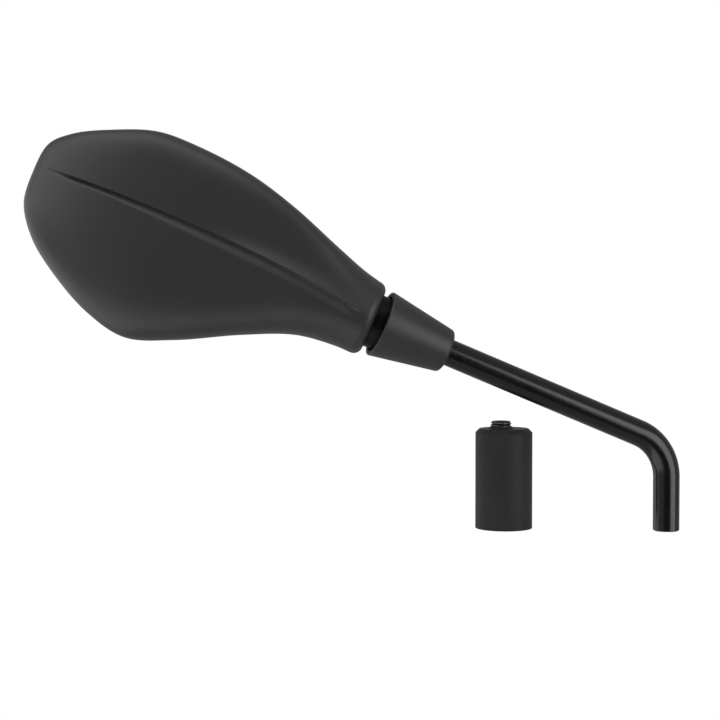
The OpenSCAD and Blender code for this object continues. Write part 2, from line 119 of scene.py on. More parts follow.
def rounded(points: list[tuple[float, float, float]], steps: int = 6) -> np.ndarray:
    """A closed outline in a plane with its corners rounded.

    Args:
        points: Corner x, corner r and the corner's rounding radius.
        steps: Steps in each rounding.

    Returns:
        The outline's points, one a row.
    """
    out = []
    count = len(points)
    for i, (x, r, radius) in enumerate(points):
        here = np.array([x, r])
        if radius <= 0:
            out.append(here)
            continue
        before = np.array(points[i - 1][:2]) - here
        after = np.array(points[(i + 1) % count][:2]) - here
        before, after = before / np.linalg.norm(before), after / np.linalg.norm(after)
        half = math.acos(np.clip(before @ after, -1, 1)) / 2
        reach = radius / math.tan(half)
        start, end = here + before * reach, here + after * reach
        bisector = (before + after) / np.linalg.norm(before + after)
        centre = here + bisector * radius / math.sin(half)
        for k in range(steps + 1):
            arm = (start - centre) * (1 - k / steps) + (end - centre) * (k / steps)
            out.append(centre + arm / np.linalg.norm(arm) * radius)
    return np.array(out)


def loft(rings: np.ndarray, closed: bool = False) -> tuple[np.ndarray, list[tuple[int, ...]]]:
    """Faces over a stack of rings with the same number of points.

    Args:
        rings: Points as (ring, point, 3).
        closed: True if the last ring joins the first; otherwise both ends get a cap.

    Returns:
        The vertices and the faces.
    """
    count, size, _ = rings.shape
    faces: list[tuple[int, ...]] = []
    for a in range(count if closed else count - 1):
        b = (a + 1) % count
        for i in range(size):
            j = (i + 1) % size
            faces.append((a * size + i, a * size + j, b * size + j, b * size + i))
    if not closed:
        faces.append(tuple(range(size - 1, -1, -1)))
        faces.append(tuple((count - 1) * size + i for i in range(size)))
    return rings.reshape(-1, 3), faces


def circle(x: float, radius: float | np.ndarray, count: int) -> np.ndarray:
    """Points round the local x axis.

    Args:
        x: Where the ring lies along the axis.
        radius: Its radius, or the radius of each point.
        count: Number of points.

    Returns:
        The points, one a row.
    """
    angles = np.linspace(0, 2 * math.pi, count, endpoint=False)
    return np.stack([np.full(count, x), radius * np.cos(angles), radius * np.sin(angles)], axis=1)


def spin(outline: np.ndarray, segments: int) -> tuple[np.ndarray, list[tuple[int, ...]]]:
    """A solid of revolution about the local x axis.

    Args:
        outline: Closed outline as (x, r) points.
        segments: Steps round the axis.

    Returns:
        The vertices and the faces.
    """
    x, r = outline[:, 0], outline[:, 1]
    angles = np.linspace(0, 2 * math.pi, segments, endpoint=False)
    rings = [np.stack([x, r * math.cos(a), r * math.sin(a)], axis=1) for a in angles]
    return loft(np.stack(rings), closed=True)


def make_object(
    name: str, shape: tuple[np.ndarray, list[tuple[int, ...]]], place: Matrix, sharp: float = 32
) -> bpy.types.Object:
    """A mesh object from points in millimetres.

    Args:
        name: The piece's name.
        shape: Its vertices and faces in its own frame.
        place: That frame in the row frame, in millimetres.
        sharp: Edges that bend by more than these degrees stay crisp.

    Returns:
        The object, linked to the scene, with its place in its mesh.
    """
    points, faces = shape
    turned = points @ np.array(place.to_3x3()).T + np.array(place.translation)
    mesh = bpy.data.meshes.new(name)
    mesh.from_pydata((turned * MM).tolist(), [], faces)
    obj = bpy.data.objects.new(name, mesh)
    bpy.context.scene.collection.objects.link(obj)
    clean(obj)
    shade(obj, sharp)
    return obj


def clean(obj: bpy.types.Object) -> None:
    """Joins doubled points and turns all faces outwards."""
    work = bmesh.new()
    work.from_mesh(obj.data)
    bmesh.ops.remove_doubles(work, verts=work.verts, dist=1e-7)
    bmesh.ops.dissolve_degenerate(work, edges=work.edges, dist=1e-8)
    bmesh.ops.recalc_face_normals(work, faces=work.faces)
    work.to_mesh(obj.data)
    work.free()


def shade(obj: bpy.types.Object, sharp: float) -> None:
    """Smooth shading with edges that bend by more than sharp degrees kept crisp."""
    obj.data.polygons.foreach_set("use_smooth", [True] * len(obj.data.polygons))
    obj.data.set_sharp_from_angle(angle=math.radians(sharp))
    obj.data.update()


def cut_away(obj: bpy.types.Object, tools: list[bpy.types.Object], sharp: float = 32) -> None:
    """Takes the tools' volume out of the object and deletes the tools.

    Args:
        obj: The object that is cut.
        tools: Closed meshes.
        sharp: Edges that bend by more than these degrees stay crisp.
    """
    for tool in tools:
        step = obj.modifiers.new("cut", "BOOLEAN")
        step.operation = "DIFFERENCE"
        step.solver = "MANIFOLD"
        step.object = tool
        graph = bpy.context.evaluated_depsgraph_get()
        result = bpy.data.meshes.new_from_object(obj.evaluated_get(graph))
        obj.modifiers.clear()
        if len(result.polygons) == 0:
            raise RuntimeError(f"{obj.name}: cutting with {tool.name} left nothing")
        obj.data = result
        bpy.data.objects.remove(tool)
    shade(obj, sharp)


def join(obj: bpy.types.Object, others: list[bpy.types.Object]) -> None:
    """Makes the others part of obj's mesh."""
    with bpy.context.temp_override(active_object=obj, selected_editable_objects=[obj, *others]):
        bpy.ops.object.join()


# Finishes


@dataclass
class Wiring:
    """A material's node tree with short ways to add and join nodes."""

    name: str
    material: bpy.types.Material = field(init=False)

    def __post_init__(self) -> None:
        """Makes the material with an empty tree, a shader and an output."""
        self.material = bpy.data.materials.new(self.name)
        self.material.use_nodes = True
        self.tree = self.material.node_tree
        self.tree.nodes.clear()
        self.shader = self.add("ShaderNodeBsdfPrincipled")
        output = self.add("ShaderNodeOutputMaterial")
        self.tree.links.new(self.shader.outputs["BSDF"], output.inputs["Surface"])
        self.place = self.add("ShaderNodeTexCoord").outputs["Object"]

    def add(self, kind: str, **values: object) -> bpy.types.Node:
        """A new node of that kind with these properties."""
        node = self.tree.nodes.new(kind)
        for key, value in values.items():
            setattr(node, key, value)
        return node

    def join(self, out: bpy.types.NodeSocket, into: bpy.types.NodeSocket) -> None:
        """Links an output to an input."""
        self.tree.links.new(out, into)

    def noise(
        self, scale: float, detail: float = 2, stretch: Vector | None = None
    ) -> bpy.types.NodeSocket:
        """Value noise in the row frame.

        Args:
            scale: Features per metre.
            detail: Octaves.
            stretch: Scale of each axis, if the noise isn't even.

        Returns:
            The noise's value.
        """
        where = self.place
        if stretch is not None:
            mapping = self.add("ShaderNodeMapping")
            mapping.inputs["Scale"].default_value = stretch
            self.join(where, mapping.inputs["Vector"])
            where = mapping.outputs["Vector"]
        node = self.add("ShaderNodeTexNoise")
        node.inputs["Scale"].default_value = scale
        node.inputs["Detail"].default_value = detail
        self.join(where, node.inputs["Vector"])
        return node.outputs["Fac"]

    def spread(
        self, value: bpy.types.NodeSocket, low: float, high: float
    ) -> bpy.types.NodeSocket:
        """Maps a noise's usual span of 0.3 to 0.7 to low and high."""
        node = self.add("ShaderNodeMapRange")
        node.inputs["From Min"].default_value = 0.3
        node.inputs["From Max"].default_value = 0.7
        node.inputs["To Min"].default_value = low
        node.inputs["To Max"].default_value = high
        self.join(value, node.inputs["Value"])
        return node.outputs["Result"]

    def tint(self, value: bpy.types.NodeSocket, low: tuple, high: tuple) -> None:
        """Base colour between two colours, as the value says."""
        ramp = self.add("ShaderNodeValToRGB")
        ramp.color_ramp.elements[0].position = 0.3
        ramp.color_ramp.elements[1].position = 0.7
        ramp.color_ramp.elements[0].color = (*low, 1)
        ramp.color_ramp.elements[1].color = (*high, 1)
        self.join(value, ramp.inputs["Fac"])
        self.join(ramp.outputs["Color"], self.shader.inputs["Base Color"])

    def rough(self, value: bpy.types.NodeSocket, low: float, high: float) -> None:
        """Roughness between two values, as the noise says."""
        self.join(self.spread(value, low, high), self.shader.inputs["Roughness"])

    def bump(self, value: bpy.types.NodeSocket, height: float, strength: float = 1) -> None:
        """Relief of that height in metres; each call adds to the last.

        Args:
            value: The relief's value from 0 to 1.
            height: Height of the relief in metres.
            strength: Share of it that is used.
        """
        node = self.add("ShaderNodeBump")
        node.inputs["Distance"].default_value = height
        node.inputs["Strength"].default_value = strength
        self.join(value, node.inputs["Height"])
        last = self.shader.inputs["Normal"]
        if last.is_linked:
            self.join(last.links[0].from_socket, node.inputs["Normal"])
        self.join(node.outputs["Normal"], last)


def shades(colour: tuple[float, float, float], amount: float) -> tuple[tuple, tuple]:
    """A darker and a lighter tone of a colour, by that share."""
    return tuple(c * (1 - amount) for c in colour), tuple(c * (1 + amount) for c in colour)


@dataclass(frozen=True)
class MouldedPlastic:
    """Matt moulded plastic with a fine spark-eroded grain."""

    name: str
    colour: tuple[float, float, float] = (0.0155, 0.0155, 0.0158)
    roughness: float = 0.45
    grain: float = 3200
    grain_height: float = 9e-6
    specular: float = 0.4

    def build(self) -> bpy.types.Material:
        """The material."""
        w = Wiring(self.name)
        w.shader.inputs["Specular IOR Level"].default_value = self.specular
        w.tint(w.noise(26, 3), *shades(self.colour, 0.06))
        w.rough(w.noise(self.grain * 0.4), self.roughness - 0.04, self.roughness + 0.05)
        w.bump(w.noise(self.grain, 3), self.grain_height, 0.6)
        w.bump(w.noise(90, 1), 2e-5, 0.35)
        return w.material


@dataclass(frozen=True)
class SatinPaint:
    """Satin black paint or powder coat on steel, with a slight orange peel."""

    name: str
    colour: tuple[float, float, float] = (0.004, 0.004, 0.0042)
    roughness: float = 0.21
    peel: float = 650
    peel_height: float = 5e-6
    specular: float = 0.36

    def build(self) -> bpy.types.Material:
        """The material."""
        w = Wiring(self.name)
        w.shader.inputs["Specular IOR Level"].default_value = self.specular
        w.tint(w.noise(60, 3), *shades(self.colour, 0.1))
        w.rough(w.noise(420), self.roughness - 0.03, self.roughness + 0.04)
        w.bump(w.noise(self.peel, 2), self.peel_height, 0.5)
        return w.material


@dataclass(frozen=True)
class Anodised:
    """Turned and black anodised metal, with fine tool marks round its axis."""

    name: str
    colour: tuple[float, float, float] = (0.0225, 0.0225, 0.0219)
    roughness: float = 0.4
    marks: float = 5200
    specular: float = 0.05

    def build(self) -> bpy.types.Material:
        """The material."""
        w = Wiring(self.name)
        w.shader.inputs["Specular IOR Level"].default_value = self.specular
        w.tint(w.noise(45, 3), *shades(self.colour, 0.08))
        turning = w.noise(1, 2, Vector((40, 40, self.marks)))
        w.rough(turning, self.roughness - 0.05, self.roughness + 0.05)
        w.bump(turning, 3e-6, 0.5)
        w.bump(w.noise(1500, 2), 4e-6, 0.3)
        return w.material


@dataclass(frozen=True)
class BareMetal:
    """Turned, drawn or hardened metal without paint."""

    name: str
    colour: tuple[float, float, float] = (0.5, 0.5, 0.52)
    roughness: float = 0.3
    streaks: Vector = Vector((900, 60, 60))

    def build(self) -> bpy.types.Material:
        """The material."""
        w = Wiring(self.name)
        w.shader.inputs["Metallic"].default_value = 1
        w.tint(w.noise(120, 3), *shades(self.colour, 0.12))
        brushed = w.noise(1, 3, self.streaks)
        w.rough(brushed, self.roughness - 0.08, self.roughness + 0.1)
        w.bump(brushed, 3e-6, 0.4)
        return w.material


@dataclass(frozen=True)
class WornOxideWithPaintedGlint:
    """Black oxide on a turned thread, rubbed to bare metal beyond a given distance from the stud's axis,
    where the lighter crest colour is also a painted highlight.
    """

    name: str
    axis: Vector
    bare_and_glint_from: float
    dark: tuple[float, float, float] = (0.02, 0.019, 0.018)
    bright: tuple[float, float, float] = (0.3, 0.3, 0.3)

    def build(self) -> bpy.types.Material:
        """The material."""
        w = Wiring(self.name)
        w.shader.inputs["Metallic"].default_value = 0.85
        shift = w.add("ShaderNodeVectorMath", operation="SUBTRACT")
        shift.inputs[1].default_value = self.axis * MM
        w.join(w.place, shift.inputs[0])
        flat = w.add("ShaderNodeVectorMath", operation="MULTIPLY")
        flat.inputs[1].default_value = (1, 1, 0)
        w.join(shift.outputs["Vector"], flat.inputs[0])
        radius = w.add("ShaderNodeVectorMath", operation="LENGTH")
        w.join(flat.outputs["Vector"], radius.inputs[0])
        # Mask of the crests: their lighter colour is partly wear to bare metal and partly a painted
        # highlight on the crests
        crest_wear_and_glint = w.add("ShaderNodeMapRange")
        crest_wear_and_glint.inputs["From Min"].default_value = (self.bare_and_glint_from - 0.25) * MM
        crest_wear_and_glint.inputs["From Max"].default_value = (self.bare_and_glint_from + 0.05) * MM
        w.join(radius.outputs["Value"], crest_wear_and_glint.inputs["Value"])
        patchy = w.add("ShaderNodeMath", operation="MULTIPLY")
        w.join(crest_wear_and_glint.outputs["Result"], patchy.inputs[0])
        w.join(w.spread(w.noise(900, 3), 0.5, 1.0), patchy.inputs[1])
        blend = w.add("ShaderNodeMix", data_type="RGBA")
        blend.inputs["A"].default_value = (*self.dark, 1)
        blend.inputs["B"].default_value = (*self.bright, 1)
        w.join(patchy.outputs["Value"], blend.inputs["Factor"])
        w.join(blend.outputs["Result"], w.shader.inputs["Base Color"])
        w.rough(w.noise(1800, 2), 0.28, 0.42)
        w.bump(w.noise(2600, 2), 4e-6, 0.4)
        return w.material


@dataclass(frozen=True)
class SilveredGlass:
    """The mirror's reflecting face."""

    name: str
    colour: tuple[float, float, float] = (0.86, 0.88, 0.9)
    roughness: float = 0.015

    def build(self) -> bpy.types.Material:
        """The material."""
        w = Wiring(self.name)
        w.shader.inputs["Metallic"].default_value = 1
        w.tint(w.noise(8, 1), *shades(self.colour, 0.01))
        w.rough(w.noise(300, 2), self.roughness * 0.7, self.roughness * 1.4)
        return w.material


@dataclass(frozen=True)
class SoftPlastic:
    """Nylon, foam or a plain moulded inner part."""

    name: str
    colour: tuple[float, float, float]
    roughness: float
    cells: float = 1800
    depth: float = 8e-6

    def build(self) -> bpy.types.Material:
        """The material."""
        w = Wiring(self.name)
        w.tint(w.noise(70, 3), *shades(self.colour, 0.08))
        w.rough(w.noise(300), self.roughness - 0.05, self.roughness + 0.05)
        w.bump(w.noise(self.cells, 3), self.depth, 0.6)
        return w.material


# Where things are


@dataclass(frozen=True)
class Stance:
    """How rod, ball and head lie, as the CAD part has them."""

    corner_z: float = 39.2
    bend_r: float = 22
    arm_len: float = 144.4
    arm_rise: float = 23
    head_swing: float = 10
    adapter_x: float = -73.3
    adapter_y: float = 9
    stud_shift: float = 1.3

    @property
    def head_turn(self) -> Matrix:
        """Turn of the head's frame: x to the tip, y to the back, z up across the leaf."""
        return Matrix.Rotation(math.radians(self.arm_rise), 4, "Y") @ Matrix.Rotation(math.pi, 4, "Z")

    @property
    def arm_turn(self) -> Matrix:
        """Turn of the arm's frame, whose x runs from the bend to the ball."""
        return self.head_turn @ Matrix.Rotation(math.radians(self.head_swing), 4, "Z")

    @property
    def arm_direction(self) -> Vector:
        """Unit vector from the bend's corner to the ball."""
        return (self.arm_turn.to_3x3() @ Vector((1, 0, 0))).normalized()

    @property
    def ball(self) -> Vector:
        """The ball's centre."""
        return Vector((0, 0, self.corner_z)) + self.arm_len * self.arm_direction

    @property
    def head(self) -> Matrix:
        """The head's frame, from the ball's centre."""
        return Matrix.Translation(self.ball) @ self.head_turn

    @property
    def arm(self) -> Matrix:
        """The arm's frame, from the ball's centre."""
        return Matrix.Translation(self.ball) @ self.arm_turn

    @property
    def adapter_foot(self) -> Vector:
        """The middle of the adapter's foot."""
        return Vector((self.adapter_x, self.adapter_y, 0))

    @property
    def stud_foot(self) -> Vector:
        """The point of the adapter's foot that lies under the stud."""
        return self.adapter_foot - Vector((self.stud_shift, 0, 0))

    @property
    def adapter(self) -> Matrix:
        """The adapter's frame: its x runs up the adapter from its foot."""
        return Matrix.Translation(self.adapter_foot) @ Matrix.Rotation(-math.pi / 2, 4, "Y")

    @property
    def stud(self) -> Matrix:
        """The stud's frame: its x runs up the stud from the level of the adapter's foot."""
        return Matrix.Translation(self.stud_foot) @ Matrix.Rotation(-math.pi / 2, 4, "Y")


@dataclass(frozen=True)
class Joint:
    """Sizes of the ball joint that its neighbours share; lengths run from the ball's centre."""

    gap: float = 3
    step: float = 7.2
    bulkhead: float = 24
    nut_end: float = 28
    bore_r: float = 12.15
    tail_bore_r: float = 11.15
    mouth_r: float = 12.75
    washer_r: float = 8.2
    shank_bore_r: float = 4.05
    web_top: float = 17.4
    rod_top: float = 20.4
    shank_end: float = 34.4


# The head


@dataclass
class LeafForm:
    """The leaf-shaped head: its outline, its ribs and what they are lofted from.

    The outline runs from the neck's upper side over the tip to its lower side. An index k counts
    along its points and may lie between two of them. A rib joins the points k and last - k.
    """

    reach: float = 165
    up: float = 40
    down: float = 49.3
    neck_r: float = 16.8
    neck_round: float = 4
    crown: float = 20
    rim: float = 14
    crown_share: float = 0.57
    flare_share: float = 0.19
    flare_power: float = 1.35
    spine_top: float = 8
    spine_sag: float = 5.3
    groove_depth: float = 1.5
    groove_w: float = 5.4
    groove_end: float = 0.978
    fold_h: float = 2.8
    fold_w: float = 10
    hollow_h: float = 0.4
    upper_power: float = 5.4
    lower_power: float = 3.1
    rim_power: float = 14
    tip_power: float = 2.6
    window_from: float = 2.6
    window_bulge: float = 12
    joint: Joint = field(default_factory=Joint)

    # Shares of the reach and of the width above or below the axis
    UPPER = ((0.18, 0.59), (0.325, 0.8), (0.469, 0.946), (0.628, 1), (0.733, 0.975),
             (0.843, 0.804), (0.938, 0.595), (0.99, 0.381))
    LOWER = ((0.992, 0.248), (0.935, 0.511), (0.844, 0.73), (0.723, 0.928), (0.608, 1),
             (0.484, 0.849), (0.326, 0.575), (0.195, 0.389))
    # Shares of the groove's width and of its depth, from its crisp edge to its soft one
    GROOVE = ((0.04, 0.35), (0.1, 0.8), (0.17, 1.0), (0.26, 0.98), (0.4, 0.82), (0.55, 0.58),
              (0.7, 0.33), (0.85, 0.12))

    def __post_init__(self) -> None:
        """Lays out the outline's points from the neck over the tip and back."""
        self.neck_s = self.joint.gap + self.neck_round
        self.table = np.array(
            [(self.neck_s, self.neck_r), (self.neck_s + 8, self.neck_r + 1.9)]
            + [(s * self.reach, w * self.up) for s, w in self.UPPER]
            + [(self.reach, 0)]
            + [(s * self.reach, -w * self.down) for s, w in self.LOWER]
            + [(self.neck_s + 8, -self.neck_r), (self.neck_s, -self.neck_r)]
        )
        self.last = len(self.table) - 1
        self.tip = self.last / 2
        self.crown_s = self.crown_share * self.reach
        self.crown_end = self.reach + 0.3

    def outline(self, k: float, inset: float = 0) -> np.ndarray:
        """Point of the outline at an index, moved inwards.

        Args:
            k: Index into the table, which may lie between two points.
            inset: How far it moves inwards.

        Returns:
            Distance along the axis and height across it.
        """
        if inset:
            run = self.outline(min(self.last, k + 0.02)) - self.outline(max(0, k - 0.02))
            run = run / np.linalg.norm(run)
            return self.outline(k) + inset * np.array([run[1], -run[0]])
        i = min(int(math.floor(k)), self.last - 1)
        p1, p2 = self.table[i], self.table[i + 1]
        p0 = self.table[i - 1] if i > 0 else 2 * p1 - p2
        p3 = self.table[i + 2] if i + 2 <= self.last else 2 * p2 - p1
        t1 = math.sqrt(np.linalg.norm(p1 - p0))
        t2 = t1 + math.sqrt(np.linalg.norm(p2 - p1))
        t3 = t2 + math.sqrt(np.linalg.norm(p3 - p2))
        x = mix(t1, t2, k - i)
        a1 = mix(p0, p1, x / t1)
        a2 = mix(p1, p2, (x - t1) / (t2 - t1))
        a3 = mix(p2, p3, (x - t2) / (t3 - t2))
        b1 = mix(a1, a2, x / t2)
        b2 = mix(a2, a3, (x - t1) / (t3 - t1))
        return mix(b1, b2, (x - t1) / (t2 - t1))

    def spine(self, s: float) -> float:
        """Height across the leaf of the groove's crisp edge."""
        off = abs(s - 0.6 * self.reach) / (0.5 * self.reach)
        return self.spine_top - self.spine_sag * off ** 2.5

    def back(self, s: float) -> float:
        """Height of the back above the neck's axis."""
        x = min(1.0, max(0.0, (s - self.crown_s) / (self.crown_end - self.crown_s)))
        t = min(1.0, max(0.0, (s - self.joint.gap) / (self.flare_share * self.reach)))
        full = mix(self.neck_r, self.crown, 1 - (1 - t) ** self.flare_power)
        return full * (1 - x ** self.tip_power) ** (1 / self.tip_power)

    def groove_width(self, s: float) -> float:
        """Width of the groove, which narrows towards the tip."""
        return self.groove_w * mix(0.4, 1, ease(self.groove_end * self.reach, 0.4 * self.reach, s))

    def groove_drop(self, s: float) -> float:
        """Depth of the groove, which runs out at the neck and before the tip."""
        reach = self.reach
        drop = self.groove_depth * ease(self.groove_end * reach, 0.86 * reach, s)
        drop *= ease(0.04 * reach, 0.1 * reach, s)
        return drop * mix(0.65, 1, ease(0.15 * reach, 0.4 * reach, s))

    def relief(self, v: np.ndarray, spine: float, lip: float, half: float, s: float) -> np.ndarray:
        """What the fold above the groove and the hollow below it add to the back.

        Args:
            v: Distances above the rib's middle.
            spine: Where the groove's crisp edge lies.
            lip: Where the groove's soft edge lies.
            half: Half the rib's width.
            s: Distance from the ball.

        Returns:
            The height to add at each distance.
        """
        reach = self.reach
        fold = self.fold_h * ease(self.joint.gap, 0.2 * reach, s) * ease(0.6 * reach, 0.3 * reach, s)
        rise = np.clip((v - spine) / self.fold_w, 0, 1)
        folded = fold * (1 - (1 - rise) ** 3) * (1 - np.clip(v / half, 0, 1) ** 4)
        hollow = self.hollow_h * ease(0.2 * reach, 0.4 * reach, s) * ease(0.85 * reach, 0.4 * reach, s)
        t = np.clip((lip - v) / (lip + half), 0, 1)
        return -folded - hollow * 12 * t ** 1.5 * (1 - t) ** 2.2

    def rib(self, k: float, inset: float = 0, fine: int = 44) -> np.ndarray:
        """One closed rib, from the upper edge over the back to the lower edge and round the front.

        Args:
            k: Outline index.
            inset: How far it lies inside the outer surface.
            fine: Steps on each side of the back.

        Returns:
            The rib's points in the head's frame.
        """
        reach = self.reach
        top, foot = self.outline(k, inset), self.outline(self.last - k, inset)
        mid, half = (top + foot) / 2, float(np.linalg.norm(top - foot)) / 2
        chord = (top - mid) / half
        s = mid[0]
        height = self.back(s) - inset
        spine = min(half / 2, max(0.0, (self.spine(s) - mid[1]) / chord[1]))
        width = min(self.groove_width(s), 0.4 * half)
        lip = spine - width
        drop = 0 if inset else min(self.groove_drop(s), 0.5 * height)
        leaf = ease(self.joint.gap, 0.38 * reach, s)
        up_p, low_p = mix(2, self.upper_power, leaf), mix(2, self.lower_power, leaf)
        front_to = self.joint.nut_end + 6
        rim_p = 2 / mix(1, 2 / self.rim_power, ease(self.joint.gap + 8, front_to, s))
        front = mix(self.neck_r, self.rim, ease(self.joint.nut_end - 0.5, front_to, s)) - inset

        steps = np.array(self.GROOVE)
        v_up = spine + (half - spine) * toward_end(fine)[::-1]
        v_low = lip - (half + lip) * toward_end(fine)
        v = np.concatenate([v_up, spine - steps[:, 0] * width, v_low])
        cut = np.concatenate([0 * v_up, steps[:, 1] * drop, 0 * v_low])
        power = np.where(v > 0, up_p, low_p)
        arc = np.clip(1 - np.minimum(np.abs(v) / half, 1) ** power, 0, None) ** (1 / power)
        y = height * arc + self.relief(v, spine, lip, half, s) - cut
        back = np.stack([mid[0] + v * chord[0], y, mid[1] + v * chord[1]], axis=1)
        t = np.concatenate([-toward_end(fine)[::-1][1:], toward_end(fine)[1:-1]])
        front_arc = -front * super_arc(t, rim_p)
        under = np.stack([mid[0] + t * half * chord[0], front_arc, mid[1] + t * half * chord[1]], axis=1)
        return np.concatenate([back, under])

    def skin(self) -> np.ndarray:
        """The outer surface's ribs, from the neck's open end to the tip."""
        first = self.rib(0)
        ends = []
        for angle in np.radians(np.linspace(0, 90, 9))[:-1]:
            share = 1 - self.neck_round * (1 - math.sin(angle)) / self.neck_r
            ring = first * [0, share, share]
            ring[:, 0] = self.neck_s - self.neck_round * math.cos(angle)
            ends.append(ring)
        last = self.tip - 0.5
        body = [self.rib(k) for k in np.linspace(0, last, 115)]
        nose = [self.rib(last + 0.47 * x) for x in toward_end(14, 1.6)[1:]]
        return np.stack(ends + body + nose)

    def room(self, inset: float) -> np.ndarray:
        """The inner surface's ribs, from the bulkhead to the tip."""
        first = self.rib(1.6, inset, 16)
        first[:, 0] = self.joint.bulkhead
        rest = [self.rib(k, inset, 16) for k in np.arange(2, self.tip - 0.55, 1 / 4)]
        return np.stack([first, *rest])

    def window(self, inset: float, per_span: int = 16) -> np.ndarray:
        """The glass opening's outline.

        Args:
            inset: How far it lies inside the head's outline.
            per_span: Points between two of the table's points.

        Returns:
            Closed outline as (s, w) points, from the neck's upper side over the tip.
        """
        first = self.window_from
        count = int((self.last - 2 * first) * per_span) + 1
        side = [self.outline(k, inset) for k in np.linspace(first, self.last - first, count)]
        top, foot = side[0], side[-1]
        mid, half = (top + foot) / 2, (top - foot) / 2
        end = [mid + math.cos(a) * half - [(self.window_bulge - inset / 3) * math.sin(a), 0]
               for a in np.radians(np.linspace(180, 0, 34))[1:-1]]
        return np.array(side + end)


@dataclass
class Head:
    """Housing and glass."""

    stance: Stance
    form: LeafForm = field(default_factory=LeafForm)
    wall: float = 2.6
    lip: float = 3
    glass_gap: float = 0.4
    glass_t: float = 2
    glass_r: float = 1200
    glass_sink: float = 0.9
    glass_mid: float = 0.62
    glass_rings: int = 26
    glass_bevel: float = 0.3
    carrier_foot: float = 7.1
    boss_r: float = 3.6
    screw_r: float = 1.55
    bosses: tuple[tuple[float, float], ...] = ((0.38, 0.45), (0.38, -0.36), (0.78, 0.5), (0.78, -0.46))

    def build(self) -> None:
        """Makes the head's pieces."""
        self.build_housing()
        self.build_glass()

    def prism(self, name: str, levels: list[tuple[float, float]]) -> bpy.types.Object:
        """A closed cutter in the shape of the glass opening.

        Args:
            name: The object's name.
            levels: Inset and y of each of its outlines, from the back to the front.

        Returns:
            The cutter.
        """
        rings = []
        for inset, y in levels:
            flat = self.form.window(inset)
            rings.append(np.stack([flat[:, 0], np.full(len(flat), y), flat[:, 1]], axis=1))
        return make_object(name, loft(np.stack(rings)), self.stance.head)

    def build_housing(self) -> None:
        """The moulded shell with its neck, its lip round the glass and its screw bosses."""
        place, joint = self.stance.head, self.form.joint
        skin = self.form.skin()
        shell = make_object("housing_shell", loft(skin), place)
        mouth, seat, end = joint.gap - 2, joint.gap + 0.6, joint.bulkhead + 1
        bore = rounded([
            (mouth, 0, 0), (mouth, joint.bore_r + 2.6, 0), (seat, joint.bore_r, 0.3),
            (joint.step, joint.bore_r, 0), (joint.step, joint.tail_bore_r, 0),
            (end, joint.tail_bore_r, 0), (end, 0, 0)])
        front, mouth_lip = -self.form.rim, self.lip - 0.35
        window = [(self.lip, 2), (self.lip, front + 0.7), (mouth_lip, front - 0.1), (mouth_lip, front - 6)]
        cut_away(shell, [
            make_object("cut_room", loft(self.form.room(self.wall)), place),
            self.prism("cut_window", window),
            make_object("cut_bore", spin(bore, 128), place),
        ], 34)
        join(shell, self.posts(skin))
        shell.data.materials.clear()
        shell.data.materials.append(MouldedPlastic("housing_plastic").build())
        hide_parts("housing")
        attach(shell, Body.HEAD.value)
        log.info("housing shell: %d faces", len(shell.data.polygons))

    def posts(self, skin: np.ndarray) -> list[bpy.types.Object]:
        """The tubes inside the shell that take the carrier's screws.

        Args:
            skin: The shell's outer ribs, which say how far each tube reaches.

        Returns:
            One tube for each boss.
        """
        back = skin.reshape(-1, 3)
        back = back[back[:, 1] > 0]
        foot = -self.carrier_foot
        made = []
        for share_s, share_w in self.bosses:
            s = share_s * self.form.reach
            w = share_w * (self.form.up if share_w > 0 else self.form.down)
            near = back[np.argmin((back[:, 0] - s) ** 2 + (back[:, 2] - w) ** 2)]
            root = near[1] - self.wall / 2
            tube = rounded([(foot, self.screw_r, 0.1), (foot, self.boss_r, 0.3),
                            (root, self.boss_r, 0), (root, self.screw_r, 0)], 3)
            upright = Matrix.Translation(Vector((s, 0, w))) @ Matrix.Rotation(math.pi / 2, 4, "Z")
            made.append(make_object("boss", spin(tube, 32), self.stance.head @ upright))
        return made

    def sheet(self, flat: np.ndarray, depth: float) -> np.ndarray:
        """A closed line on the convex glass.

        Args:
            flat: The line as (s, w) points.
            depth: How far behind the glass's face it lies.

        Returns:
            The line's points in the head's frame.
        """
        s, w = flat[:, 0], flat[:, 1]
        middle = self.middle
        square = (s - middle[0]) ** 2 + (w - middle[1]) ** 2
        sag = self.glass_r - np.sqrt(self.glass_r ** 2 - square)
        return np.stack([s, self.glass_sink - self.form.rim + sag + depth, w], axis=1)

    @property
    def middle(self) -> np.ndarray:
        """Where the convex glass stands highest, as (s, w)."""
        return np.array([self.glass_mid * self.form.reach, (self.form.up - self.form.down) / 2])

    def build_glass(self) -> None:
        """The convex glass with a ground edge."""
        inset, bevel = self.lip + self.glass_gap, self.glass_bevel
        edge, inner = self.form.window(inset), self.form.window(inset + 1.5 * bevel)
        rings = [self.sheet(self.middle + share * (inner - self.middle), 0)
                 for share in np.linspace(0.02, 1, self.glass_rings)]
        rings += [self.sheet(edge, bevel), self.sheet(edge, self.glass_t - bevel),
                  self.sheet(inner, self.glass_t)]
        glass = make_object("mirror_glass_face", loft(np.stack(rings)), self.stance.head, 25)
        glass.data.materials.append(SilveredGlass("silvered_face").build())
        glass.data.materials.append(
            SoftPlastic("ground_glass_edge", (0.05, 0.075, 0.07), 0.25, 2200, 3e-6).build())
        per_ring = len(edge)
        for poly in glass.data.polygons:
            on_rim = min(poly.vertices) >= (self.glass_rings - 1) * per_ring
            poly.material_index = 1 if on_rim else 0
        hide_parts("mirror_glass")
        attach(glass, Body.HEAD.value)
        log.info("glass: %d faces", len(glass.data.polygons))


# The stem


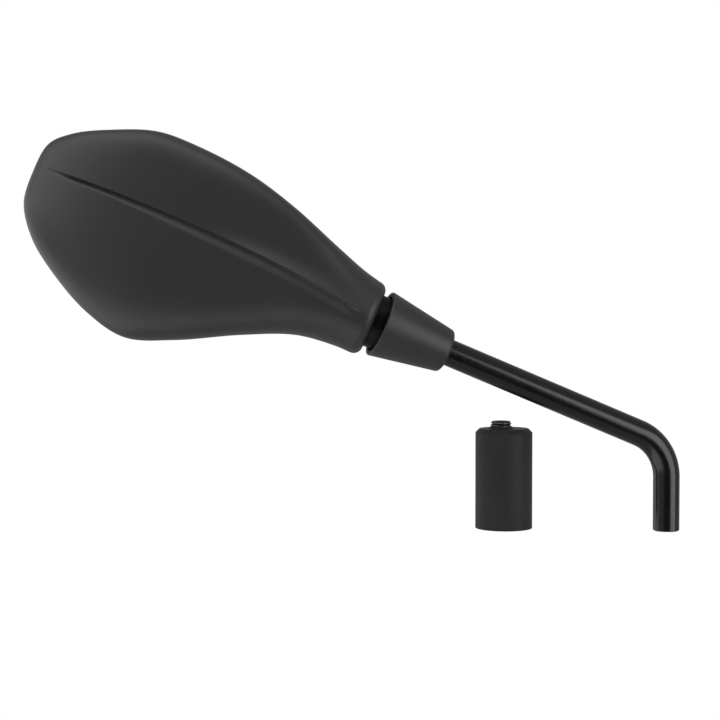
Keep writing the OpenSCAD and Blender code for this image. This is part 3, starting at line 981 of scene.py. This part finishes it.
@dataclass
class Stem:
    """Rod and collar."""

    stance: Stance
    joint: Joint = field(default_factory=Joint)
    rod_r: float = 6
    collar_len: float = 32.5
    collar_mouth_r: float = 15
    collar_tail_r: float = 9.7
    collar_bore_r: float = 6.1
    shank_r: float = 4.2

    def build(self) -> None:
        """Makes the stem's pieces."""
        self.build_rod()
        self.build_collar()

    def centre_line(self) -> list[tuple[Vector, Vector]]:
        """Points of the rod's centre line with its direction there, from the cut end to the ball stud."""
        up, along = Vector((0, 0, 1)), self.stance.arm_direction
        turn = up.angle(along)
        run = self.stance.bend_r * math.tan(turn / 2)
        start = Vector((0, 0, self.stance.corner_z - run))
        side = (along - up * along.dot(up)).normalized()
        centre = start + side * self.stance.bend_r
        line = [(Vector((0, 0, z)), up) for z in np.linspace(0, start.z, 8, endpoint=False)]
        for angle in np.linspace(0, turn, 49):
            spoke = -side * math.cos(angle) + up * math.sin(angle)
            way = side * math.sin(angle) + up * math.cos(angle)
            line.append((centre + spoke * self.stance.bend_r, way))
        end = line[-1][0]
        length = self.stance.arm_len - run - self.joint.rod_top
        line += [(end + along * x, along) for x in np.linspace(0, length, 16)[1:]]
        return line

    def build_rod(self) -> None:
        """The bent rod with its chamfered cut end and the hole for the ball stud's shank."""
        line = self.centre_line()
        across = line[0][1].cross(line[-1][1]).normalized()
        angles = np.linspace(0, 2 * math.pi, 128, endpoint=False)

        def ring(at: Vector, way: Vector, radius: float) -> np.ndarray:
            """A circle about the centre line."""
            out = across.cross(way).normalized()
            return np.array([at + radius * (math.cos(a) * out + math.sin(a) * across) for a in angles])

        foot, up = line[0]
        foot_cut, top_cut, tiny = 0.5, 0.4, 0.02
        rings = [ring(foot, up, tiny), ring(foot, up, 2), ring(foot, up, self.rod_r - foot_cut)]
        rings.append(ring(foot + up * foot_cut, up, self.rod_r))
        rings += [ring(at, way, self.rod_r) for at, way in line[1:-1]]
        top, along = line[-1]
        rings += [ring(top - along * top_cut, along, self.rod_r), ring(top, along, self.rod_r - top_cut)]
        hole_r = self.joint.shank_bore_r
        hole_end = top - along * (self.joint.shank_end - self.joint.rod_top + 1)
        rings += [ring(top, along, hole_r), ring(hole_end, along, hole_r), ring(hole_end, along, tiny)]
        rod = make_object("rod_bent", loft(np.stack(rings)), Matrix.Identity(4), 30)
        rod.data.materials.append(SatinPaint("rod_paint").build())
        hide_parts("rod")
        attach(rod, Body.STEM.value)
        log.info("rod: %d faces", len(rod.data.polygons))

    def build_collar(self) -> None:
        """The tapered collar with its round mouth and its clamped web."""
        joint, tail, shank_r = self.joint, -self.collar_len, self.shank_r
        dome = [(-joint.mouth_r * math.sin(a), joint.mouth_r * math.cos(a), 0)
                for a in np.linspace(0, math.acos(joint.washer_r / joint.mouth_r), 20)]
        outline = rounded(
            dome[1:]
            + [(-joint.web_top, joint.washer_r, 0), (-joint.web_top, shank_r, 0),
               (-joint.rod_top, shank_r, 0), (-joint.rod_top, self.collar_bore_r, 0),
               (tail, self.collar_bore_r, 0.3), (tail, self.collar_tail_r, 2),
               (0, self.collar_mouth_r, 0.6), (0, joint.mouth_r, 0.25)], 10)
        collar = make_object("collar_sleeve", spin(outline, 144), self.stance.arm, 34)
        collar.data.materials.append(MouldedPlastic("collar_plastic").build())
        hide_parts("collar")
        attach(collar, Body.STEM.value)
        log.info("collar: %d faces", len(collar.data.polygons))


# The adapter


@dataclass
class Adapter:
    """The clamp adapter that stands beside the rod, with its threaded stud."""

    stance: Stance
    radius: float = 13.1
    height: float = 46
    chamfer: float = 1.8
    bore_r: float = 6.1
    bore_depth: float = 28
    screw_z: float = 14
    screw_r: float = 2.5
    stud_r: float = 5
    stud_out: float = 3.4
    stud_in: float = 12
    pitch: float = 1.25
    thread_depth: float = 0.67
    socket_r: float = 2.5
    socket_depth: float = 4

    def build(self) -> None:
        """Makes the adapter's pieces."""
        self.build_body()
        self.build_stud()

    def build_body(self) -> None:
        """The turned body with its bore, its stud hole and the clamp screw's hole."""
        h, hole, stud = self.height, self.stud_r - 0.05, self.stance.stud
        outline = rounded([
            (0, self.bore_r, 0.25), (0, self.radius, 0.35), (h - self.chamfer, self.radius, 0.5),
            (h, self.radius - self.chamfer, 0.4), (h, 0, 0), (self.bore_depth, 0, 0),
            (self.bore_depth, self.bore_r, 0)], 6)
        body = make_object("adapter_turned_body", spin(outline, 160), self.stance.adapter, 30)
        across = Matrix.Translation(self.stance.adapter_foot + Vector((0, 0, self.screw_z)))
        across = across @ Matrix.Rotation(math.pi / 2, 4, "Z")
        screw_hole = self.plug(0, self.radius + 2, self.screw_r)
        stud_hole = self.plug(h - self.stud_in - 0.5, h + 2, hole)
        cut_away(body, [make_object("cut_screw", spin(screw_hole, 48), across),
                        make_object("cut_stud", spin(stud_hole, 96), stud)], 30)
        low, high, inner = h - 0.1, h + 1.2, hole - 0.7
        lip = rounded([(low, inner, 0), (low, self.stud_r + 1, 0), (h, self.stud_r + 0.9, 0.1),
                       (high, self.stud_r - 0.4, 0.1), (high, inner, 0)], 4)
        join(body, [make_object("stud_lip", spin(lip, 96), stud, 30)])
        body.data.materials.clear()
        body.data.materials.append(Anodised("adapter_black").build())
        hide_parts("adapter_body")
        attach(body, Body.STEM.value)
        log.info("adapter body: %d faces", len(body.data.polygons))

    def plug(self, low: float, high: float, radius: float) -> np.ndarray:
        """Outline of a plain cylinder from low to high."""
        return rounded([(low, 0, 0), (low, radius, 0), (high, radius, 0), (high, 0, 0)])

    def build_stud(self) -> None:
        """The threaded stud with a real helical thread and a hex socket."""
        crest_r = self.stud_r - 0.1
        root_r = crest_r - self.thread_depth
        top = self.height + self.stud_out
        threaded = self.height - 1.5
        around, row = 96, 0.055
        turn = np.linspace(0, 1, around, endpoint=False)
        rings = [circle(self.height - self.stud_in, root_r, around)]
        for z in np.linspace(threaded, top, int((top - threaded) / row) + 1):
            phase = ((z + turn * self.pitch - top + 0.9) / self.pitch) % 1
            flank = np.clip(np.abs(phase - 0.5) * 2 * 1.45 - 0.12, 0, 1)
            radius = crest_r - self.thread_depth * flank
            chamfer = root_r - 0.25 + (top - z) * 1.2
            radius = np.minimum(radius, chamfer)
            radius = np.where(z - threaded < 0.3, root_r, radius)
            rings.append(circle(z, radius, around))
        stud = make_object("adapter_threaded_stud", loft(np.stack(rings)), self.stance.stud, 40)
        corner_r = self.socket_r / math.cos(math.pi / 6)
        walls = [circle(z, corner_r, 6) for z in (top - self.socket_depth, top + 1)]
        cut_away(stud, [make_object("cut_hex", loft(np.stack(walls)), self.stance.stud)], 40)
        stud.data.materials.clear()
        # The stud's crests are coloured lighter: partly wear to bare metal, partly a painted highlight
        crest_wear_and_glint = WornOxideWithPaintedGlint("black_steel_thread", self.stance.stud_foot, crest_r - 0.1)
        stud.data.materials.append(crest_wear_and_glint.build())
        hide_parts("adapter_stud")
        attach(stud, Body.STEM.value)
        log.info("stud: %d faces", len(stud.data.polygons))


# What stays as the CAD has it


@dataclass
class InnerParts:
    """Finishes for the CAD nodes that are shown as they are."""

    def dress(self) -> None:
        """Gives each kept node its finish and smooth shading."""
        steel = BareMetal("bare_steel").build()
        spring = BareMetal("spring_steel", (0.32, 0.32, 0.34), 0.36).build()
        nylon = SoftPlastic("seat_plastic", (0.82, 0.81, 0.76), 0.4).build()
        # The socket's near-black, weakly reflecting finish is partly its own black and partly painted
        # shade for the dark gap between neck and collar
        socket = SatinPaint("socket_black", (0.002, 0.002, 0.002), 0.4, specular=0.1).build()
        plate = MouldedPlastic("plate_plastic", (0.03, 0.03, 0.03)).build()
        foam = SoftPlastic("foam", (0.08, 0.08, 0.09), 0.85, 1400, 1e-4).build()
        oxide = BareMetal("black_oxide", (0.05, 0.048, 0.045), 0.38).build()
        finishes = {
            "ball_stud": steel, "lock_nut": steel, "lock_washer": steel, "pressure_cup": steel,
            "spring_cap": steel, "ring_nut": steel, "carrier_screws": steel, "disc_springs": spring,
            "retaining_ring": spring, "rear_seat": nylon, "front_seat": nylon, "socket": socket,
            "carrier_plate": plate, "foam_pad": foam, "clamp_screw": oxide,
        }
        for name, finish in finishes.items():
            node = frame["nodes"][name]
            node.data.materials.clear()
            node.data.materials.append(finish)
            shade(node, 28)
            log.info("dressed %s", name)


# The studio


def combine(
    tree: bpy.types.NodeTree, how: str, first: bpy.types.NodeSocket,
    second: bpy.types.NodeSocket | float,
) -> bpy.types.NodeSocket:
    """The outcome of a calculation on two values.

    Args:
        tree: The node tree that it stands in.
        how: Blender's name of the operation.
        first: The first value.
        second: The second value, or a plain number.

    Returns:
        The outcome.
    """
    node = tree.nodes.new("ShaderNodeMath")
    node.operation = how
    tree.links.new(first, node.inputs[0])
    if isinstance(second, (int, float)):
        node.inputs[1].default_value = second
    else:
        tree.links.new(second, node.inputs[1])
    return node.outputs["Value"]


def blend_shaders(
    tree: bpy.types.NodeTree, share: bpy.types.NodeSocket, shaders: list[bpy.types.NodeSocket],
    output: str,
) -> None:
    """Sends a blend of two shaders to the tree's surface.

    Args:
        tree: The node tree.
        share: Share of the second shader.
        shaders: The two shaders.
        output: Kind of the output node.
    """
    blend = tree.nodes.new("ShaderNodeMixShader")
    tree.links.new(share, blend.inputs["Fac"])
    tree.links.new(shaders[0], blend.inputs[1])
    tree.links.new(shaders[1], blend.inputs[2])
    tree.links.new(blend.outputs["Shader"], tree.nodes.new(output).inputs["Surface"])


@dataclass
class Studio:
    """Floor, white surroundings, lamps and camera.

    glossy_share is how white the surroundings are in reflections, floor_shadow the floor's share
    that takes shadow, and floor_lit how light that share is by itself.
    """

    aim: Vector = field(default_factory=lambda: Vector((-0.1396, 0, 0.0778)))
    distance: float = 0.75
    elevation: float = 2
    focal_px: float = 1650
    image_px: float = 720
    sensor_mm: float = 36
    soft_level: float = 0.36
    glossy_share: float = 0.1
    floor_shadow: float = 0.1
    floor_lit: float = 0.3

    def build(self) -> None:
        """Sets up the whole studio."""
        self.build_world()
        self.build_floor()
        self.build_card()
        self.build_lamps()
        self.build_camera()
        bpy.context.scene.view_settings.view_transform = "Standard"

    def build_world(self) -> None:
        """White for the eye, dim in reflections, and a soft level light for the rest."""
        world = bpy.data.worlds.new("studio")
        bpy.context.scene.world = world
        world.use_nodes = True
        world.cycles.sampling_method = "NONE"
        tree = world.node_tree
        tree.nodes.clear()
        path = tree.nodes.new("ShaderNodeLightPath")
        seen = combine(tree, "MAXIMUM", path.outputs["Is Camera Ray"], path.outputs["Is Transmission Ray"])
        dimmed = combine(tree, "MULTIPLY", path.outputs["Is Glossy Ray"], self.glossy_share)
        share = combine(tree, "MAXIMUM", seen, dimmed)
        shaders = []
        for level in (self.soft_level, 1):
            light = tree.nodes.new("ShaderNodeBackground")
            light.inputs["Color"].default_value = (1, 1, 1, 1)
            light.inputs["Strength"].default_value = level
            shaders.append(light.outputs["Background"])
        blend_shaders(tree, share, shaders, "ShaderNodeOutputWorld")

    def plane(self, name: str, size: tuple[float, float], place: Matrix) -> bpy.types.Object:
        """A flat staged sheet, which isn't part of the object.

        Args:
            name: The sheet's name.
            size: Its width and depth in metres.
            place: Where it lies, in metres.

        Returns:
            The sheet.
        """
        x, y = size[0] / 2, size[1] / 2
        mesh = bpy.data.meshes.new(name)
        mesh.from_pydata([(-x, -y, 0), (x, -y, 0), (x, y, 0), (-x, y, 0)], [], [(0, 1, 2, 3)])
        sheet = bpy.data.objects.new(name, mesh)
        bpy.context.scene.collection.objects.link(sheet)
        sheet.matrix_world = place
        return sheet

    def build_floor(self) -> None:
        """A pale floor that shows as white but keeps a light shadow."""
        floor = self.plane("floor", (3.2, 2.2), Matrix.Translation(Vector((-0.1, 0.8, -0.0002))))
        material = bpy.data.materials.new("pale_floor")
        material.use_nodes = True
        tree = material.node_tree
        tree.nodes.clear()
        path = tree.nodes.new("ShaderNodeLightPath")
        lit = tree.nodes.new("ShaderNodeBsdfDiffuse")
        lit.inputs["Color"].default_value = (0.85, 0.85, 0.85, 1)
        white = tree.nodes.new("ShaderNodeEmission")
        glow = 1 - self.floor_shadow
        white.inputs["Strength"].default_value = (1 - self.floor_shadow * self.floor_lit) / glow
        share = combine(tree, "MULTIPLY", path.outputs["Is Camera Ray"], glow)
        shaders = [lit.outputs["BSDF"], white.outputs["Emission"]]
        blend_shaders(tree, share, shaders, "ShaderNodeOutputMaterial")
        floor.data.materials.append(material)
        floor.visible_glossy = False
        floor.visible_shadow = False

    def build_card(self) -> None:
        """A black card behind the camera, which only reflections see."""
        place = Matrix.Translation(Vector((-0.04, -1.1, 0.1))) @ Matrix.Rotation(math.pi / 2, 4, "X")
        card = self.plane("black_card", (1.2, 2.2), place)
        material = bpy.data.materials.new("black_card")
        material.use_nodes = True
        tree = material.node_tree
        tree.nodes.clear()
        dark = tree.nodes.new("ShaderNodeEmission")
        dark.inputs["Color"].default_value = (0.02, 0.02, 0.02, 1)
        output = tree.nodes.new("ShaderNodeOutputMaterial")
        tree.links.new(dark.outputs["Emission"], output.inputs["Surface"])
        card.data.materials.append(material)
        card.visible_camera = False
        card.visible_diffuse = False
        card.visible_shadow = False
        card.visible_transmission = False

    def lamp(self, name: str, at: Vector, size: tuple[float, float], power: float) -> None:
        """A soft area lamp that faces the object.

        Args:
            name: The lamp's name.
            at: Where it stands, in metres.
            size: Its width and height in metres.
            power: Its power in watts.
        """
        data = bpy.data.lights.new(name, "AREA")
        data.shape = "RECTANGLE"
        data.size, data.size_y = size
        data.energy = power
        obj = bpy.data.objects.new(name, data)
        bpy.context.scene.collection.objects.link(obj)
        obj.location = at
        obj.rotation_mode = "QUATERNION"
        obj.rotation_quaternion = (self.aim - at).to_track_quat("-Z", "Y")
        obj.visible_camera = False

    def around(self, azimuth: float, elevation: float, distance: float) -> Vector:
        """A point round the object: azimuth in degrees to the right of the camera's side."""
        a, e = math.radians(azimuth), math.radians(elevation)
        way = Vector((math.sin(a) * math.cos(e), -math.cos(a) * math.cos(e), math.sin(e)))
        return self.aim + way * distance

    def build_lamps(self) -> None:
        """A lamp on the right, three on the left, high, rear and low, and one overhead.

        The low one shines up through the floor, which casts no shadow.
        """
        self.lamp("right_box", self.around(54.5, 3, 1.0), (0.7, 0.7), 5.4)
        self.lamp("left_box", self.around(-60, 26, 1.0), (1.1, 0.73), 4.2)
        self.lamp("left_rear_box", self.around(-108, -5, 1.0), (1.2, 0.9), 3.2)
        self.lamp("low_box", self.around(-55, -44, 1.0), (1.6, 0.7), 5.6)
        self.lamp("overhead", self.around(-20, 66, 1.0), (1.15, 0.8), 5.2)

    def build_camera(self) -> None:
        """The camera at the photograph's viewing angle."""
        data = bpy.data.cameras.new("camera")
        data.sensor_width = self.sensor_mm
        data.lens = self.sensor_mm * self.focal_px / self.image_px
        data.clip_start, data.clip_end = 0.01, 50
        camera = bpy.data.objects.new("camera", data)
        bpy.context.scene.collection.objects.link(camera)
        camera.location = self.around(0, self.elevation, self.distance)
        camera.rotation_mode = "QUATERNION"
        camera.rotation_quaternion = (self.aim - camera.location).to_track_quat("-Z", "Y")
        bpy.context.scene.camera = camera


def main() -> None:
    """Builds everything in order."""
    logging.basicConfig(level=logging.INFO, format="%(name)s: %(message)s")
    stance = Stance()
    Head(stance).build()
    Stem(stance).build()
    Adapter(stance).build()
    InnerParts().dress()
    Studio().build()
    bpy.context.view_layer.update()


if __name__ == "__main__":
    main()
